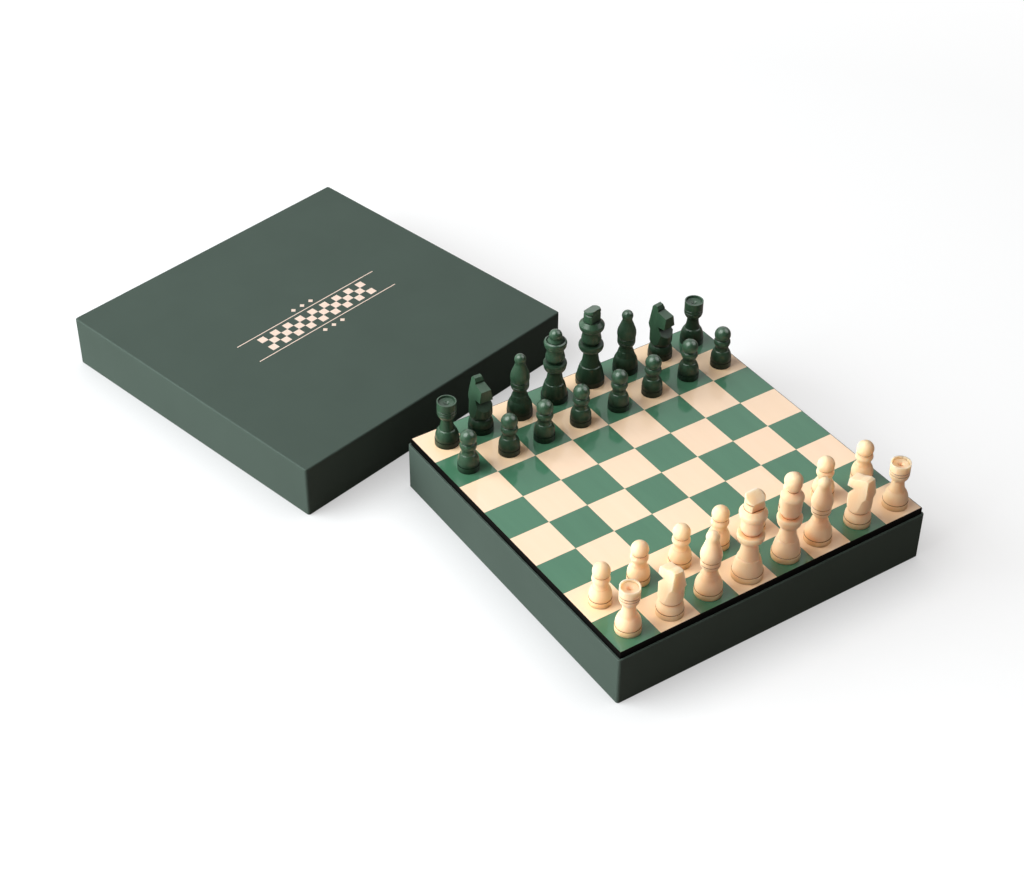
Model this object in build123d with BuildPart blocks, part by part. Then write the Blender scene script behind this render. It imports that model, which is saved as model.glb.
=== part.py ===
"""Boxed chess set: a playing board that closes a shallow storage box, 32 turned chessmen set up on it,
and the box's lid lying open side down beside it. Millimetres, +Z up.

The origin is the middle of the box's underside. +X runs along the ranks from file a to file h, and
+Y from the natural-wood men's side to the green men's side.
"""
import os
from math import asin, cos, degrees, radians, sin

from build123d import *

# Playing board
square = 32.0
squares_a_side = 8
veneer = 0.6
core_thickness = 5.8
core_border = 0.5
backing_thickness = 0.2
core_edge_round = 0.25

# Box under the board
tray_wall = 1.5
tray_floor = 1.5
tray_rim = 39.4
board_sits_in = 0.8
board_clearance = 0.3
collar_wall = 1.5
collar_clearance = 0.15
lining = 0.5
lining_clearance = 0.3
divider_wall = 1.5
divider_clearance = 0.3
tray_corner = 2.0
rim_round = 0.4
foot_chamfer = 0.4

# Lid, taken off and set down beside the box
lid_fit = 1.6
lid_wall = 1.5
lid_top = 1.5
lid_height = 42.2
lid_corner = 2.0
lid_edge_round = 1.2
lid_turn = 13.3
lid_aside = -108.9
lid_gap = 10.5

# Heights and widths that follow
grid = squares_a_side * square
board_width = grid + 2 * core_border
tray_inside = board_width + 2 * board_clearance
tray_width = tray_inside + 2 * tray_wall
board_seat = tray_rim - board_sits_in
core_bottom = board_seat + backing_thickness
core_top = core_bottom + core_thickness
board_top = core_top
lining_top = tray_floor + lining
lid_width = tray_width + 2 * (lid_fit + lid_wall)
lid_inside = lid_width - 2 * lid_wall
lid_reach = lid_width / 2 * (cos(radians(lid_turn)) + sin(radians(lid_turn)))
lid_centre = (lid_aside, tray_width / 2 + lid_gap + lid_reach)

# Chessmen. An outline runs up the side of a turned man as (radius, height) steps from the middle of its
# foot, and a third number bows that step out (above zero) or in (below zero) by so much. Where a ball or a
# dome tops the man, its top height is given apart, and its centre lies on the axis.
pawn_outline = [
    (7.9, 0), (7.9, 4.6), (7.5, 4.6), (5.7, 13.6, 0.9), (5.2, 14.1), (4.8, 16.6), (6.2, 20.0),
    (5.3, 23.3, 0.4), (4.9, 23.7),
]
pawn_ball_top = 33.4
rook_outline = [
    (9.0, 0), (9.0, 4.4), (8.6, 4.4), (6.4, 12.9, 0.8), (5.7, 13.5), (4.3, 22.4, -0.3), (7.1, 28.2, 0.8),
    (6.7, 28.6), (7.1, 29.0), (7.1, 30.5), (6.7, 30.9), (7.1, 31.3), (7.1, 37.4), (6.2, 37.4), (5.6, 36.1),
    (2.4, 35.5), (0, 34.0),
]
bishop_outline = [
    (9.6, 0), (9.6, 4.2), (9.2, 4.2), (7.0, 13.6, 0.9), (5.8, 17.6), (5.4, 18.1), (4.6, 21.8),
    (6.8, 25.8, 0.6), (6.4, 26.2), (6.8, 26.6), (6.8, 29.2), (6.4, 29.6), (6.8, 30.1),
]
green_bishop_head = [(6.5, 36.8, 0.5), (3.7, 44.0), (3.7, 45.8)]
green_bishop_top = 52.1
natural_bishop_head = [(6.9, 36.8, 0.6), (4.3, 45.0), (4.3, 46.8)]
natural_bishop_top = 53.0
knight_outline = [
    (9.4, 0), (9.4, 4.3), (9.0, 4.3), (7.7, 10.8, 0.6), (7.0, 11.6), (8.6, 16.0, 0.5), (8.6, 24.0),
    (10.4, 29.0), (10.4, 45.0), (0, 45.0),
]
green_horse = [
    (-12, 0), (12, 0), (12, 16.5), (2.0, 28.3), (2.0, 28.9), (8.0, 29.4), (7.8, 38.4), (-1.2, 40.4),
    (-1.2, 41.8), (-2.8, 44.2), (-5.8, 44.6), (-7.2, 43.0), (-8.7, 22.0), (-12, 22.0),
]
natural_horse = [
    (-12, 0), (12, 0), (12, 17.0), (2.4, 29.8), (2.4, 30.2), (8.0, 30.2), (8.0, 35.8), (0.8, 38.0),
    (-1.0, 39.2), (-4.6, 40.4), (-7.0, 40.0), (-8.7, 22.0), (-12, 22.0),
]
horse_foot_width = 12.0
horse_flat_foot = (8.4, 11.0)
horse_flat_top = (2.9, 45.0)
king_outline = [
    (10.9, 0), (10.9, 4.7), (10.4, 4.7), (7.9, 16.4, 0.3), (7.2, 17.0), (5.4, 29.9, -0.3), (9.0, 33.4, 0.7),
    (9.0, 37.4, 0.4), (6.0, 38.2), (6.0, 40.4), (7.5, 41.0), (7.5, 42.4),
]
green_king_crown = [
    (6.8, 46.4), (7.0, 49.8), (9.3, 54.0, 0.7), (9.1, 56.0, 0.3), (6.7, 59.0), (6.3, 59.0),
    (6.3, 65.6), (5.4, 66.5), (6.3, 67.4), (6.3, 68.8), (5.2, 71.0), (0, 71.0),
]
natural_king_crown = [
    (7.6, 50.0), (9.3, 53.6, 0.6), (9.1, 56.0, 0.3), (6.9, 59.0), (6.6, 59.0),
    (6.6, 63.6), (5.8, 64.4), (6.6, 65.2), (6.6, 69.0), (5.8, 71.0), (0, 71.0),
]
# The kings' finials stand above this height; each has its half thickness between the two flats, then the
# heights of its slanted top at the front flat and at the back flat.
king_head_foot = 59.0
green_king_head = (4.3, 70.4, 68.0)
natural_king_head = (4.5, 70.2, 65.8)
queen_outline = [
    (10.1, 0), (10.1, 4.5), (9.6, 4.5), (7.4, 15.6, 0.3), (6.8, 16.2), (5.3, 26.2, -0.3), (8.4, 31.6, 0.8),
    (8.4, 35.4, 0.4), (5.6, 36.2), (5.6, 38.4), (7.2, 39.2), (7.2, 40.6),
]
green_queen_crown = [
    (6.3, 44.8), (6.5, 48.2), (8.2, 51.8, 0.6), (8.0, 54.8, 0.4), (6.9, 55.4), (6.3, 54.8), (4.6, 57.8),
]
green_queen_top = 64.8
natural_queen_crown = [
    (7.1, 42.2), (7.6, 50.4), (6.6, 54.6, 0.9), (3.4, 57.2), (5.8, 62.6, 0.4), (5.9, 65.4),
]
natural_queen_top = 71.4

# Heights of the green men over the natural ones of their kind
green_stretch = {"king": 0.94, "queen": 0.95, "bishop": 1.03}

# Who stands where on the back ranks, from file a to file h, and each colour's way of facing
files = "abcdefgh"
natural_rank = ["rook", "knight", "bishop", "king", "queen", "bishop", "knight", "rook"]
green_rank = ["rook", "knight", "bishop", "queen", "king", "bishop", "knight", "rook"]

# Steps off the middle of the square, from file a to file h
green_back_steps = [
    (3.4, -0.8), (0.3, -0.4), (1.3, -1.5), (1.1, 0.3), (3.0, 2.9), (1.3, 0.1), (2.0, 0.2), (1.0, 1.5),
]
green_pawn_steps = [
    (0.9, -1.2), (3.0, -1.7), (0.8, -2.3), (0.9, -1.9), (2.2, -2.6), (1.4, -1.6), (3.6, -0.8), (1.5, -1.8),
]
natural_pawn_steps = [
    (0.1, -2.8), (1.2, 0.4), (2.2, -1.3), (3.0, -0.9), (1.8, -1.0), (1.5, -0.8), (-0.3, 0), (1.8, -1.6),
]
natural_back_steps = [
    (0.4, -1.3), (0.4, -3.4), (0.9, -2.1), (0.9, -2.8), (2.4, -2.1), (-0.6, -0.9), (1.5, -2.2), (3.4, -2.7),
]
turns = {
    "green_knight_b": -92, "green_knight_g": -82, "natural_knight_b": 88, "natural_knight_g": 100,
    "green_king": -77, "natural_king": 87,
}

os.makedirs("parts", exist_ok=True)


def save(part, name):
    """Label one finished piece and write it."""
    part.label = name
    export_step(part, f"parts/{name}.step")


def base_tray():
    """Wrapped board box that everything stands on."""
    with BuildPart() as tray:
        with BuildSketch():
            RectangleRounded(tray_width, tray_width, tray_corner)
        extrude(amount=tray_rim)
        with BuildSketch(Plane.XY.offset(tray_floor)):
            Rectangle(tray_inside, tray_inside)
        extrude(amount=tray_rim - tray_floor, mode=Mode.SUBTRACT)
        fillet(tray.faces().sort_by(Axis.Z)[-1].outer_wire().edges(), rim_round)
        chamfer(tray.faces().sort_by(Axis.Z)[0].edges(), foot_chamfer)
    save(tray.part, "base_tray")


def base_floor_lining():
    """Paper sheet on the box's floor, inside the collar."""
    with BuildPart() as sheet:
        with BuildSketch(Plane.XY.offset(tray_floor)):
            Rectangle(tray_inside - 2 * lining_clearance, tray_inside - 2 * lining_clearance)
        extrude(amount=lining)
    save(sheet.part, "base_floor_lining")


def inner_collar():
    """Card frame that stands inside the box's walls and carries the board."""
    outside = tray_inside - 2 * collar_clearance
    with BuildPart() as collar:
        with BuildSketch(Plane.XY.offset(lining_top)):
            Rectangle(outside, outside)
            Rectangle(outside - 2 * collar_wall, outside - 2 * collar_wall, mode=Mode.SUBTRACT)
        extrude(amount=board_seat - lining_top)
    save(collar.part, "inner_collar")


def centre_divider():
    """Card wall across the middle, which parts the two colours' men and holds the board up."""
    reach = tray_inside - 2 * (collar_clearance + collar_wall + divider_clearance)
    with BuildPart() as divider:
        with BuildSketch(Plane.XY.offset(lining_top)):
            Rectangle(reach, divider_wall)
        extrude(amount=board_seat - lining_top)
    save(divider.part, "centre_divider")


def board_core():
    """Black-edged panel with a shallow bed for the veneer squares."""
    with BuildPart() as core:
        with BuildSketch(Plane.XY.offset(core_bottom)):
            Rectangle(board_width, board_width)
        extrude(amount=core_thickness)
        fillet(core.faces().sort_by(Axis.Z)[-1].edges(), core_edge_round)
        with BuildSketch(Plane.XY.offset(core_top - veneer)):
            Rectangle(grid, grid)
        extrude(amount=veneer, mode=Mode.SUBTRACT)
    save(core.part, "board_core")


def board_backing():
    """Paper sheet under the panel."""
    with BuildPart() as backing:
        with BuildSketch(Plane.XY.offset(board_seat)):
            Rectangle(board_width, board_width)
        extrude(amount=backing_thickness)
    save(backing.part, "board_backing")


def middle_of(file, rank):
    """Middle of a square, counted from 0, on the plan."""
    first = -(squares_a_side - 1) / 2 * square
    return first + file * square, first + rank * square


def veneer_squares(name, remainder):
    """The 32 squares of one colour, each a separate piece of veneer; a1 is a green one."""
    numbers = range(squares_a_side)
    spots = [middle_of(file, rank) for file in numbers for rank in numbers if (file + rank) % 2 == remainder]
    with BuildPart() as squares:
        with BuildSketch(Plane.XY.offset(core_top - veneer)):
            with Locations(*spots):
                Rectangle(square, square)
        extrude(amount=veneer)
    save(squares.part, name)


def lid():
    """Lid shell and its lining sheet, set down open side down and turned a little."""
    ahead = (cos(radians(lid_turn)), sin(radians(lid_turn)), 0)
    top_plane = Plane((*lid_centre, lid_height), x_dir=ahead, z_dir=(0, 0, -1))
    with BuildPart() as shell:
        with BuildSketch(top_plane):
            RectangleRounded(lid_width, lid_width, lid_corner)
        extrude(amount=lid_height)
        with BuildSketch(top_plane.offset(lid_top)):
            Rectangle(lid_inside, lid_inside)
        extrude(amount=lid_height - lid_top, mode=Mode.SUBTRACT)
        fillet(shell.faces().sort_by(Axis.Z)[-1].edges(), lid_edge_round)
        chamfer(shell.faces().sort_by(Axis.Z)[0].outer_wire().edges(), foot_chamfer)
    save(shell.part, "lid_shell")
    with BuildPart() as sheet:
        with BuildSketch(top_plane.offset(lid_top)):
            Rectangle(lid_inside - 2 * lining_clearance, lid_inside - 2 * lining_clearance)
        extrude(amount=lining)
    save(sheet.part, "lid_lining")


def trace(steps, stretch=1.0, ball_top=None):
    """Draw an outline up from the middle of the foot, round any ball on top, and back down the axis."""
    here = (0, 0)
    for radius, height, *bow in steps:
        there = (radius, height * stretch)
        if bow:
            SagittaArc(here, there, -bow[0])
        else:
            Line(here, there)
        here = there
    if ball_top:
        top = ball_top * stretch
        rise = top - here[1]
        ball = (here[0] ** 2 + rise**2) / (2 * rise)
        start = degrees(asin((here[1] - top + ball) / ball))
        CenterArc((0, top - ball), ball, start, 90 - start)
        here = (0, top)
    Line(here, (0, 0))


def turned_man(name, spot, steps, stretch=1.0, ball_top=None):
    """A man turned in one piece, standing at a spot on the board."""
    with BuildPart() as man:
        with BuildSketch(Plane(spot, x_dir=(1, 0, 0), z_dir=(0, -1, 0))):
            with BuildLine():
                trace(steps, stretch, ball_top)
            make_face()
        revolve(axis=Axis(spot, (0, 0, 1)))
    save(man.part, name)


def king(name, spot, turn, steps, head, stretch):
    """A turned man, facing along its turn, whose finial has two flats and a top slanted towards the back."""
    ahead = (cos(radians(turn)), sin(radians(turn)), 0)
    side_view = Plane(spot, x_dir=ahead, z_dir=(ahead[1], -ahead[0], 0))
    foot = king_head_foot * stretch
    flat, front, back = head[0], head[1] * stretch, head[2] * stretch
    wide = 2 * king_outline[0][0]
    with BuildPart() as man:
        with BuildSketch(side_view):
            with BuildLine():
                trace(steps, stretch)
            make_face()
        revolve(axis=Axis(spot, (0, 0, 1)))
        with BuildSketch(side_view):
            with BuildLine():
                Polyline(
                    (-wide, 0), (wide, 0), (wide, foot), (flat, foot), (flat, front), (-flat, back),
                    (-flat, foot), (-wide, foot), close=True,
                )
            make_face()
        extrude(amount=wide, both=True, mode=Mode.INTERSECT)
    save(man.part, name)


def knight(name, spot, turn, horse):
    """A turned blank cut to a horse's profile and planed on both sides, facing along its turn."""
    ahead = (cos(radians(turn)), sin(radians(turn)), 0)
    aside = (-ahead[1], ahead[0], 0)
    side_view = Plane(spot, x_dir=ahead, z_dir=(ahead[1], -ahead[0], 0))
    front_view = Plane(spot, x_dir=aside, z_dir=ahead)
    with BuildPart() as man:
        with BuildSketch(side_view):
            with BuildLine():
                trace(knight_outline)
            make_face()
        revolve(axis=Axis(spot, (0, 0, 1)))
        with BuildSketch(side_view):
            with BuildLine():
                Polyline(*horse, close=True)
            make_face()
        extrude(amount=horse_foot_width, both=True, mode=Mode.INTERSECT)
        foot_half, foot_height = horse_flat_foot
        top_half, top_height = horse_flat_top
        with BuildSketch(front_view):
            with BuildLine():
                Polyline(
                    (-horse_foot_width, 0), (horse_foot_width, 0), (horse_foot_width, foot_height),
                    (foot_half, foot_height), (top_half, top_height), (-top_half, top_height),
                    (-foot_half, foot_height), (-horse_foot_width, foot_height), close=True,
                )
            make_face()
        extrude(amount=horse_foot_width, both=True, mode=Mode.INTERSECT)
    save(man.part, name)


def chessman(colour, kind, file, rank, step):
    """Make one man of a colour on its square, a small step off the square's middle."""
    across, along = middle_of(file, rank)
    spot = (across + step[0], along + step[1], board_top)
    letter = files[file]
    name = f"{colour}_{kind}" if kind in ("king", "queen") else f"{colour}_{kind}_{letter}"
    stretch = green_stretch.get(kind, 1.0) if colour == "green" else 1.0
    green = colour == "green"
    if kind == "king" and green:
        king(name, spot, turns[name], king_outline + green_king_crown, green_king_head, stretch)
    elif kind == "king":
        king(name, spot, turns[name], king_outline + natural_king_crown, natural_king_head, stretch)
    elif kind == "knight":
        knight(name, spot, turns[name], green_horse if green else natural_horse)
    elif kind == "queen" and green:
        turned_man(name, spot, queen_outline + green_queen_crown, stretch, green_queen_top)
    elif kind == "queen":
        turned_man(name, spot, queen_outline + natural_queen_crown, stretch, natural_queen_top)
    elif kind == "bishop" and green:
        turned_man(name, spot, bishop_outline + green_bishop_head, stretch, green_bishop_top)
    elif kind == "bishop":
        turned_man(name, spot, bishop_outline + natural_bishop_head, stretch, natural_bishop_top)
    elif kind == "rook":
        turned_man(name, spot, rook_outline)
    else:
        turned_man(name, spot, pawn_outline, ball_top=pawn_ball_top)


base_tray()
base_floor_lining()
inner_collar()
centre_divider()
board_core()
board_backing()
veneer_squares("green_squares", 0)
veneer_squares("light_squares", 1)
lid()
for file in range(squares_a_side):
    chessman("natural", natural_rank[file], file, 0, natural_back_steps[file])
    chessman("natural", "pawn", file, 1, natural_pawn_steps[file])
    chessman("green", "pawn", file, squares_a_side - 2, green_pawn_steps[file])
    chessman("green", green_rank[file], file, squares_a_side - 1, green_back_steps[file])
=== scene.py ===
"""Looks of the boxed chess set: a finish for every piece, an ornament on the lid, and soft studio light.

Metres, in the CAD model's frame: the origin is the middle of the box's underside, +X runs along the ranks
from file a to file h, and +Y from the natural-wood men's side to the green men's side.
"""
from math import cos, radians, sin

import bmesh
import bpy
from mathutils import Matrix, Vector


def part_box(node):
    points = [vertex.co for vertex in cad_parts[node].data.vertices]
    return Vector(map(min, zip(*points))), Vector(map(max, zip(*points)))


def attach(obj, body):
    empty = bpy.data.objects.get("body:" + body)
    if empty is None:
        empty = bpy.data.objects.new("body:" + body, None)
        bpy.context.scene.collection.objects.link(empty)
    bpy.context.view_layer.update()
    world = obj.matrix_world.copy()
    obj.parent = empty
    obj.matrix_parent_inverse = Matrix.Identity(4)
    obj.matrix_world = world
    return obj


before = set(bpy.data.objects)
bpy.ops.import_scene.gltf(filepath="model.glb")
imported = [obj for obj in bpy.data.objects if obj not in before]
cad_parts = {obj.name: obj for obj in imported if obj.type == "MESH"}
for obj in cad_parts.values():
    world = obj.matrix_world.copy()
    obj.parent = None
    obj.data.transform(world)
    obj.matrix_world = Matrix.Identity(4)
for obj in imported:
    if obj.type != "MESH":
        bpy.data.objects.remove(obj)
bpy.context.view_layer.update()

mm = 0.001
square = 32 * mm
half_grid = 4 * square
round_a_square = ((-1, -1), (1, -1), (1, 1), (-1, 1))

# Colours, linear
box_green = (0.0545, 0.080, 0.0675)
box_green_worn = (0.115, 0.155, 0.138)
lining_black = (0.022, 0.024, 0.022)
card_black = (0.014, 0.014, 0.014)
edge_black = (0.0015, 0.0015, 0.0015)
edge_black_speck = (0.0033, 0.0033, 0.0033)
veneer_green = (0.057, 0.186, 0.110)
veneer_green_deep = (0.050, 0.168, 0.099)
# Painted warm shade on the green squares near the men
veneer_green_painted_shade = (0.057, 0.178, 0.098)
veneer_light = (0.95, 0.750, 0.555)
veneer_light_deep = (0.93, 0.724, 0.523)
# Painted warm shade on the light squares near the men
veneer_light_painted_shade = (0.98, 0.733, 0.451)
veneer_seam = (0.16, 0.16, 0.09)
wood_light = (0.86, 0.675, 0.460)
wood_deep = (0.83, 0.600, 0.375)
# Painted shade near other things: a warm orange that stands in for light bounced between close surfaces
wood_painted_warm_shade = (0.80, 0.430, 0.195)
# Dark in the grooves: partly painted shade, partly varnish gathered there
wood_groove = (0.17, 0.065, 0.022)
wood_glow = (1.0, 0.88, 0.76)
stain_green = (0.038, 0.090, 0.052)
stain_green_deep = (0.018, 0.050, 0.028)
# Painted shade near other things, on the green men
stain_painted_shade = (0.002, 0.008, 0.003)
# Dark in the grooves of the green men: painted shade
stain_groove = (0.002, 0.008, 0.004)
foil_cream = (0.78, 0.67, 0.58)
foil_blush = (0.75, 0.58, 0.48)

# Noise cycles a metre, for grain and fibres across, along and up
veneer_figure = (110, 11, 0)
veneer_pores = (1800, 60, 0)
wood_figure = (150, 150, 26)
wood_pores = (1500, 1500, 90)
paper_fibres = (2600, 2600, 2600)
paper_clouds = 22.0
fold_ripples = 160.0
coat_waves = 55.0
edge_specks = 900.0
foil_press = 420.0

# The paper's shade in its clouds, and the least share of its coat that turned wood keeps near other things
cloud_shade = 0.93
least_polish = 0.1

# How far the painted shade near other things and the partly painted dark of the grooves reach, how far
# light glows through the wood, and how round the worn folds are
# painted warm shade on the squares near the men
veneer_painted_shade_reach = 30 * mm
wood_painted_shade_reach = 14 * mm
stain_painted_shade_reach = 32 * mm
groove_reach = 0.9 * mm
wood_glow_reach = 10 * mm
fold_radius = 1.1 * mm

# A seam between squares darkens from the first of these distances to the second
seam_outer = 0.144 * mm
seam_inner = 0.048 * mm
seam_strength = 0.35

# Depths of the surface's unevenness
coat_wave_depth = 0.05 * mm
veneer_pore_depth = 0.02 * mm
wood_pore_depth = 0.04 * mm
paper_fibre_depth = 0.03 * mm
card_fibre_depth = 0.05 * mm
speck_depth = 0.01 * mm


class Tree:
    """A material's or the world's nodes, added in short calls."""

    def __init__(self, name, home=bpy.data.materials):
        self.owner = home.new(name)
        self.owner.use_nodes = True
        self.tree = self.owner.node_tree
        self.tree.nodes.clear()

    def add(self, kind, inputs=None, out=0, **settings):
        """Add a shader node, set or link its inputs, and give back one of its outputs."""
        node = self.tree.nodes.new("ShaderNode" + kind)
        for key, value in settings.items():
            setattr(node, key, value)
        for key, value in (inputs or {}).items():
            if isinstance(value, bpy.types.NodeSocket):
                self.tree.links.new(value, node.inputs[key])
            elif isinstance(value, tuple) and node.inputs[key].type == "RGBA":
                node.inputs[key].default_value = (*value, 1)
            else:
                node.inputs[key].default_value = value
        return node.outputs[out] if node.outputs else None

    def math(self, operation, *values):
        return self.add("Math", dict(enumerate(values)), operation=operation)

    def vector(self, operation, *values, out=0):
        return self.add("VectorMath", dict(enumerate(values)), out=out, operation=operation)

    def mix(self, share, first, second):
        """Mix two colours."""
        inputs = {0: share, 6: first, 7: second}
        return self.add("Mix", inputs, out=2, data_type="RGBA", clamp_factor=True)

    def scale(self, value, start, end, to_start=0.0, to_end=1.0):
        """Carry a value from one range over to another, and hold it there."""
        inputs = {"Value": value, "From Min": start, "From Max": end, "To Min": to_start, "To Max": to_end}
        return self.add("MapRange", inputs, clamp=True)

    def noise(self, place, cycles, detail=3.0, roughness=0.55):
        """Noise at one number of cycles a metre all ways, or at one number for each way."""
        if isinstance(cycles, tuple):
            place, cycles = self.vector("MULTIPLY", place, cycles), 1.0
        inputs = {"Vector": place, "Scale": cycles, "Detail": detail, "Roughness": roughness}
        return self.add("TexNoise", inputs)

    def blend(self, first, second, share):
        """Add two values, the first by its share and the second by the rest."""
        rest = self.math("MULTIPLY", second, 1 - share)
        return self.math("ADD", self.math("MULTIPLY", first, share), rest)

    def openness(self, reach, samples=8, only_local=False):
        """How open a point is to its surroundings: 1 in the open, 0 deep in a corner."""
        settings = {"samples": samples, "only_local": only_local}
        return self.add("AmbientOcclusion", {"Distance": reach}, out="AO", **settings)

    def place(self):
        """Where a point is on the object at rest."""
        return self.add("TexCoord", out="Object")

    def bump(self, height, depth, strength):
        return self.add("Bump", {"Height": height, "Distance": depth, "Strength": strength})

    def finish(self, **inputs):
        """Close the tree with one Principled shader."""
        named = {key.replace("_", " "): value for key, value in inputs.items()}
        shader = self.add("BsdfPrincipled", named)
        self.add("OutputMaterial", {"Surface": shader})
        return self.owner


def chance_of_square(t, place):
    """Three random numbers that hold all over one square of the board and the man that stands on it."""
    moved = t.vector("ADD", place, (half_grid, half_grid, 0))
    counted = t.vector("MULTIPLY", moved, (1 / square, 1 / square, 0))
    return t.add("TexWhiteNoise", {"Vector": t.vector("FLOOR", counted)}, out="Color")


def veneer(name, light, deep, painted_shade):
    """Veneer: faint grain that differs by square, with painted warm shade near the men, under a
    mirror-like coat.
    """
    t = Tree(name)
    place = t.place()
    chance = chance_of_square(t, place)
    shifted = t.vector("ADD", place, chance)
    figure = t.noise(shifted, veneer_figure, detail=2.0)
    pores = t.noise(shifted, veneer_pores, detail=4.0, roughness=0.65)
    grain = t.blend(figure, pores, share=0.7)
    colour = t.mix(t.scale(grain, start=0.34, end=0.66), light, deep)
    # Painted warm shade: the squares turn warmer and darker where the men stand close
    colour = t.mix(t.scale(t.openness(veneer_painted_shade_reach), start=0.98, end=0.60), colour, painted_shade)
    tone = t.add("SeparateXYZ", {0: chance})
    value = t.scale(tone, 0, 1, to_start=0.985, to_end=1.015)
    colour = t.add("HueSaturation", {"Color": colour, "Value": value})
    inside = t.vector("FRACTION", t.vector("MULTIPLY", place, (1 / square, 1 / square, 0)))
    off_middle = t.vector("ABSOLUTE", t.vector("SUBTRACT", inside, (0.5, 0.5, 0)))
    apart = t.add("SeparateXYZ", {0: off_middle}).node.outputs
    farthest = t.math("MAXIMUM", apart[0], apart[1])
    seam = t.scale(farthest, 0.5 - seam_outer / square, 0.5 - seam_inner / square)
    colour = t.mix(t.math("MULTIPLY", seam, seam_strength), colour, veneer_seam)
    waves = t.noise(place, coat_waves, detail=1.0)
    return t.finish(
        Base_Color=colour, Roughness=0.45, Specular_IOR_Level=0.15,
        Coat_Weight=1.0, Coat_Roughness=0.06, Coat_IOR=1.5,
        Coat_Normal=t.bump(waves, coat_wave_depth, 0.5), Normal=t.bump(pores, veneer_pore_depth, 0.4),
    )


def turned_wood(name, light, deep, painted_shade, groove, reach, coat, coat_roughness, glow):
    """Turned wood: faint upright grain, painted warm shade and less gloss near other things, and darker
    grooves, partly painted shade and, on the natural wood, partly varnish gathered there.
    """
    t = Tree(name)
    place = t.place()
    chance = chance_of_square(t, place)
    figure = t.noise(t.vector("ADD", place, chance), wood_figure, detail=2.0)
    pores = t.noise(place, wood_pores, detail=3.0, roughness=0.6)
    grain = t.blend(figure, pores, share=0.6)
    colour = t.mix(t.scale(grain, start=0.32, end=0.72), light, deep)
    tone = t.add("SeparateXYZ", {0: chance}).node.outputs
    hue = t.scale(tone[1], 0, 1, to_start=0.497, to_end=0.502)
    value = t.scale(tone[0], 0, 1, to_start=0.97, to_end=1.03)
    colour = t.add("HueSaturation", {"Color": colour, "Hue": hue, "Value": value})
    openness = t.openness(reach)
    # Painted shade: near other things the colour turns towards the shade colour
    colour = t.mix(t.scale(openness, start=0.95, end=0.45), colour, painted_shade)
    polish = t.scale(openness, start=0.60, end=0.98, to_start=least_polish * coat, to_end=coat)
    hollow = t.openness(groove_reach, only_local=True)
    # Darker in the grooves: painted shade, on the natural wood partly varnish gathered there as well
    colour = t.mix(t.scale(hollow, start=0.88, end=0.60), colour, groove)
    return t.finish(
        Base_Color=colour, Roughness=0.42, Specular_IOR_Level=0.2,
        Coat_Weight=polish, Coat_Roughness=coat_roughness, Normal=t.bump(pores, wood_pore_depth, 0.3),
        Subsurface_Weight=glow, Subsurface_Radius=wood_glow, Subsurface_Scale=wood_glow_reach,
    )


def wrap_paper(name, colour, worn, fibre_depth):
    """Matt paper wrapped over board, faintly clouded and unevenly paler where it turns an edge."""
    t = Tree(name)
    place = t.place()
    cloud = t.noise(place, paper_clouds)
    fibres = t.noise(place, paper_fibres, detail=2.0, roughness=0.6)
    ripple = t.noise(place, fold_ripples, detail=2.0)
    toned = t.mix(t.scale(cloud, start=0.3, end=0.7), colour, tuple(cloud_shade * c for c in colour))
    rounded = t.add("Bevel", {"Radius": fold_radius}, samples=6)
    faced = t.add("NewGeometry", out="Normal")
    turned = t.vector("DOT_PRODUCT", rounded, faced, out="Value")
    on_fold = t.scale(turned, start=0.995, end=0.90)
    on_fibre = t.scale(fibres, start=0.35, end=0.65, to_start=0.25)
    on_ripple = t.scale(ripple, start=0.38, end=0.62, to_start=0.35)
    rubbed = t.math("MULTIPLY", t.math("MULTIPLY", on_fold, on_fibre), on_ripple)
    return t.finish(
        Base_Color=t.mix(rubbed, toned, worn), Roughness=0.6, Specular_IOR_Level=0.12,
        Normal=t.bump(fibres, fibre_depth, 0.5),
    )


def black_lacquer(name):
    """Black satin lacquer on the board's edge."""
    t = Tree(name)
    speck = t.noise(t.place(), edge_specks, detail=2.0)
    colour = t.mix(t.scale(speck, start=0.3, end=0.8), edge_black, edge_black_speck)
    return t.finish(
        Base_Color=colour, Roughness=0.35, Specular_IOR_Level=0.05, Normal=t.bump(speck, speck_depth, 0.3),
    )


def stamped_foil(name):
    """Matt foil with the faint unevenness of hot stamping."""
    t = Tree(name)
    press = t.noise(t.place(), foil_press)
    colour = t.mix(t.scale(press, start=0.35, end=0.75), foil_cream, foil_blush)
    return t.finish(
        Base_Color=colour, Roughness=0.42, Specular_IOR_Level=0.4, Normal=t.bump(press, speck_depth, 0.3),
    )


def paint():
    """Give every CAD node its finish."""
    paper = wrap_paper("box_paper", box_green, box_green_worn, paper_fibre_depth)
    lining = wrap_paper("lining_paper", lining_black, card_black, card_fibre_depth)
    card = wrap_paper("black_card", card_black, lining_black, card_fibre_depth)
    natural = turned_wood(
        "natural_wood", wood_light, wood_deep, wood_painted_warm_shade, wood_groove, wood_painted_shade_reach,
        coat=0.4, coat_roughness=0.35, glow=1.0,
    )
    green = turned_wood(
        "green_lacquer", stain_green, stain_green_deep, stain_painted_shade, stain_groove, stain_painted_shade_reach,
        coat=1.0, coat_roughness=0.2, glow=0.0,
    )
    finishes = {
        "base_tray": paper, "lid_shell": paper,
        "base_floor_lining": lining, "lid_lining": lining, "board_backing": lining,
        "inner_collar": card, "centre_divider": card,
        "board_core": black_lacquer("black_edge"),
        "green_squares": veneer("green_veneer", veneer_green, veneer_green_deep, veneer_green_painted_shade),
        "light_squares": veneer("light_veneer", veneer_light, veneer_light_deep, veneer_light_painted_shade),
    }
    for name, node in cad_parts.items():
        man = natural if name.startswith("natural_") else green
        node.data.materials.clear()
        node.data.materials.append(finishes.get(name, man))


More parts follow.
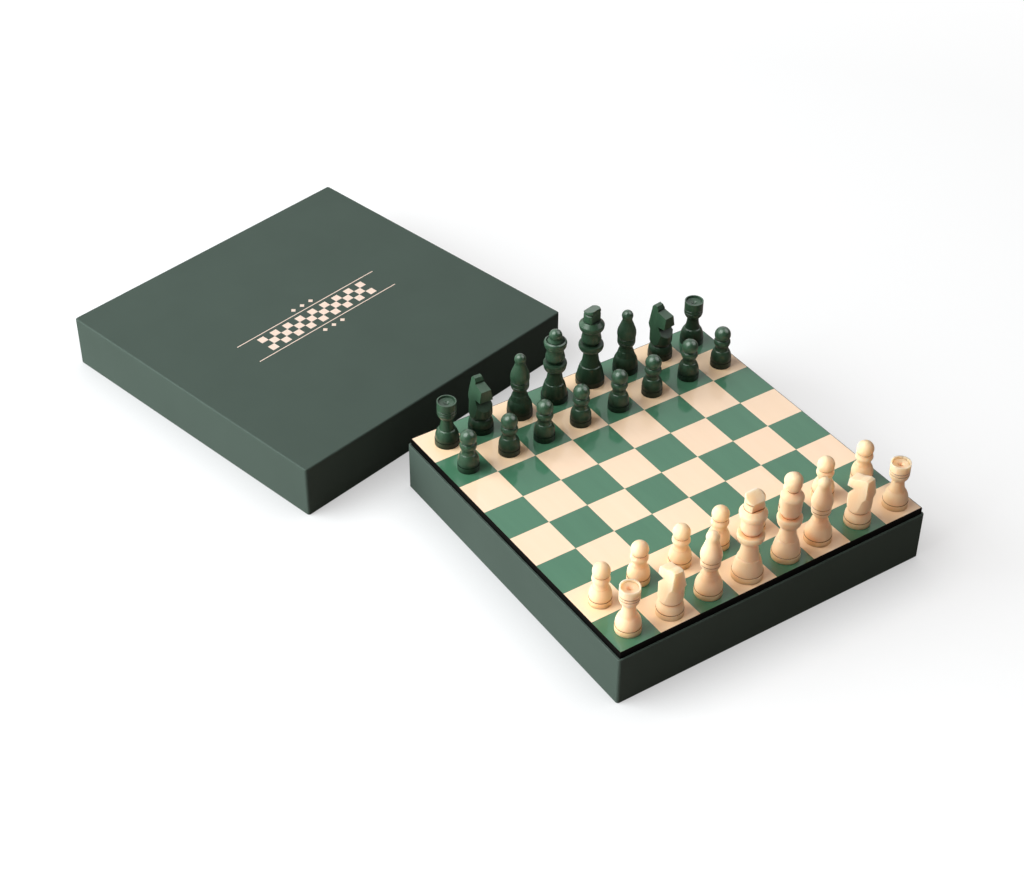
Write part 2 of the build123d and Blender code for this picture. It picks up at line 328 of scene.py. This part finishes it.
# Stamped ornament: a chequer band between two rules, with three lozenges above and below
lid_turn = radians(13.3)
foil_lift = 0.03 * mm
band_square = 6.4 * mm
band_rows = 3
band_columns = 17
rule_length = 142 * mm
rule_width = 0.8 * mm
rule_gap = 3.4 * mm
lozenge = 2.3 * mm
lozenge_gap = 5.4 * mm
lozenge_pitch = 9 * mm


def rectangle(shape, middle, width, height):
    """Add one flat rectangle of foil to a mesh in the making."""
    x, y = middle
    corners = [(x + across * width / 2, y + up * height / 2) for across, up in round_a_square]
    shape.faces.new([shape.verts.new((*corner, 0)) for corner in corners])


def diamond(shape, middle, reach):
    """Add one flat lozenge of foil, whose corners lie a reach off its middle."""
    x, y = middle
    corners = [(x - reach, y), (x, y - reach), (x + reach, y), (x, y + reach)]
    shape.faces.new([shape.verts.new((*corner, 0)) for corner in corners])


def lid_ornament():
    """Stamp the ornament on the middle of the lid, square to its sides."""
    low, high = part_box("lid_shell")
    shape = bmesh.new()
    for row in range(band_rows):
        for column in range(band_columns):
            if (row + column) % 2 == 0:
                across = (column - (band_columns - 1) / 2) * band_square
                up = (row - (band_rows - 1) / 2) * band_square
                rectangle(shape, (across, up), band_square, band_square)
    edge = band_rows * band_square / 2
    for side in (-1, 1):
        rectangle(shape, (0, side * (edge + rule_gap)), rule_length, rule_width)
        for place in (-1, 0, 1):
            diamond(shape, (place * lozenge_pitch, side * (edge + rule_gap + lozenge_gap)), lozenge)
    solid = bmesh.ops.extrude_face_region(shape, geom=shape.faces[:])
    raised = [v for v in solid["geom"] if isinstance(v, bmesh.types.BMVert)]
    bmesh.ops.translate(shape, vec=(0, 0, foil_lift), verts=raised)
    bmesh.ops.recalc_face_normals(shape, faces=shape.faces[:])
    mesh = bpy.data.meshes.new("lid_ornament")
    shape.to_mesh(mesh)
    shape.free()
    mesh.materials.append(stamped_foil("stamped_foil"))
    ornament = bpy.data.objects.new("lid_ornament", mesh)
    bpy.context.scene.collection.objects.link(ornament)
    middle = (low + high) / 2
    turn = Matrix.Rotation(lid_turn, 4, "Z")
    ornament.matrix_world = Matrix.Translation((middle.x, middle.y, high.z)) @ turn
    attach(ornament, "lid")


# Camera, worked out from the photograph's board
camera_azimuth = radians(-33.635)
camera_elevation = radians(39.190)
camera_roll = radians(0.381)
camera_distance = 46.990 * square
camera_target = Vector((-1.162 * square, 4.209 * square, 0))
camera_lens = 70.06
sensor_width = 36.0


def camera():
    """Look at the set as the photograph does."""
    flat = cos(camera_elevation)
    back = Vector((sin(camera_azimuth) * flat, -cos(camera_azimuth) * flat, sin(camera_elevation)))
    right = Vector((cos(camera_azimuth), sin(camera_azimuth), 0))
    up = back.cross(right)
    leaned_right = cos(camera_roll) * right + sin(camera_roll) * up
    leaned_up = back.cross(leaned_right)
    data = bpy.data.cameras.new("camera")
    data.sensor_fit = "HORIZONTAL"
    data.sensor_width = sensor_width
    data.lens = camera_lens
    item = bpy.data.objects.new("camera", data)
    bpy.context.scene.collection.objects.link(item)
    turn = Matrix((leaned_right, leaned_up, back)).transposed().to_4x4()
    item.matrix_world = Matrix.Translation(camera_target + back * camera_distance) @ turn
    bpy.context.scene.camera = item


# Floor: its glow goes from floor_glow to white between the two fade distances
floor_half = 6.0
floor_drop = 0.1 * mm
floor_bounce = (0.28, 0.245, 0.23)
floor_seen = (0.355, 0.38, 0.39)
floor_glow = 0.65
fade_from = 0.7
fade_to = 2.2
# Painted shadow near things: how far it reaches, and its least share of white where the object meets the
# floor
contact_shadow_reach = 45 * mm
contact_shadow_least = 0.5

# Studio: what gloss mirrors runs from dark in front to bright at the back, with two soft windows overhead
white = (1.0, 1.0, 1.0)
sky = (0.285, 0.235, 0.215)
bright_side = (0.1, 0.92, 0.38)
dark_from = 0.15
bright_from = 0.75
mirrored_dark = 0.05
mirrored_bright = 1.0
left_window = (-0.50, 0.18, 0.847)
left_window_level = 6.0
right_window = (0.62, -0.20, 0.759)
right_window_level = 3.0
window_from = 0.82
window_to = 0.96
middle_of_set = Vector((-0.05, 0.15, 0.03))


def floor():
    """Plain floor: white where it is seen, with a painted shadow that greys it close to things, to mid
    grey as the object meets it.
    """
    data = bpy.data.meshes.new("floor")
    corners = [(across * floor_half, along * floor_half, -floor_drop) for across, along in round_a_square]
    data.from_pydata(corners, [], [(0, 1, 2, 3)])
    item = bpy.data.objects.new("floor", data)
    bpy.context.scene.collection.objects.link(item)
    t = Tree("floor")
    # Painted shadow: the floor greys close to things, down to mid grey where the object meets it
    painted_contact_shadow = t.scale(t.openness(contact_shadow_reach, samples=16), 0, 1, contact_shadow_least, 1)
    far = t.vector("LENGTH", t.place(), out="Value")
    plain = t.scale(far, fade_from, fade_to, floor_glow, 1)
    glow = t.add("Emission", {"Color": white, "Strength": t.math("MULTIPLY", painted_contact_shadow, plain)})
    lit = t.add("BsdfDiffuse", {"Color": t.mix(painted_contact_shadow, (0, 0, 0), floor_seen)})
    seen = t.add("AddShader", {0: glow, 1: lit})
    met = t.add("BsdfDiffuse", {"Color": floor_bounce})
    is_seen = t.add("LightPath", out="Is Camera Ray")
    t.add("OutputMaterial", {"Surface": t.add("MixShader", {0: is_seen, 1: met, 2: seen})})
    data.materials.append(t.owner)


def soft_box(name, place, width, height, watts):
    """A rectangular lamp turned to the set, which neither the camera nor gloss sees."""
    data = bpy.data.lights.new(name, "AREA")
    data.shape = "RECTANGLE"
    data.size = width
    data.size_y = height
    data.energy = watts
    item = bpy.data.objects.new(name, data)
    bpy.context.scene.collection.objects.link(item)
    item.location = place
    item.rotation_euler = (middle_of_set - Vector(place)).to_track_quat("-Z", "Y").to_euler()
    item.visible_camera = False
    item.visible_glossy = False


def surroundings():
    """An even dim studio: white where it is seen, and with its own dark and bright sides in gloss."""
    t = Tree("studio", bpy.data.worlds)
    bpy.context.scene.world = t.owner
    way = t.add("TexCoord", out="Generated")
    backward = t.vector("DOT_PRODUCT", way, bright_side, out="Value")
    mirrored = t.scale(backward, dark_from, bright_from, mirrored_dark, mirrored_bright)
    for window, level in ((left_window, left_window_level), (right_window, right_window_level)):
        windowward = t.vector("DOT_PRODUCT", way, window, out="Value")
        mirrored = t.math("MAXIMUM", mirrored, t.scale(windowward, window_from, window_to, 0, level))
    rays = t.add("LightPath").node.outputs
    shown = t.mix(rays["Is Glossy Ray"], sky, mirrored)
    shown = t.mix(rays["Is Camera Ray"], shown, white)
    t.add("OutputWorld", {"Surface": t.add("Background", {"Color": shown, "Strength": 1.0})})


paint()
lid_ornament()
camera()
floor()
surroundings()
soft_box("key", place=(-2.7, 1.0, 1.05), width=3.6, height=1.9, watts=175)
soft_box("upper", place=(-1.6, 0.9, 2.1), width=1.8, height=1.8, watts=41)

bpy.context.scene.view_settings.view_transform = "Standard"
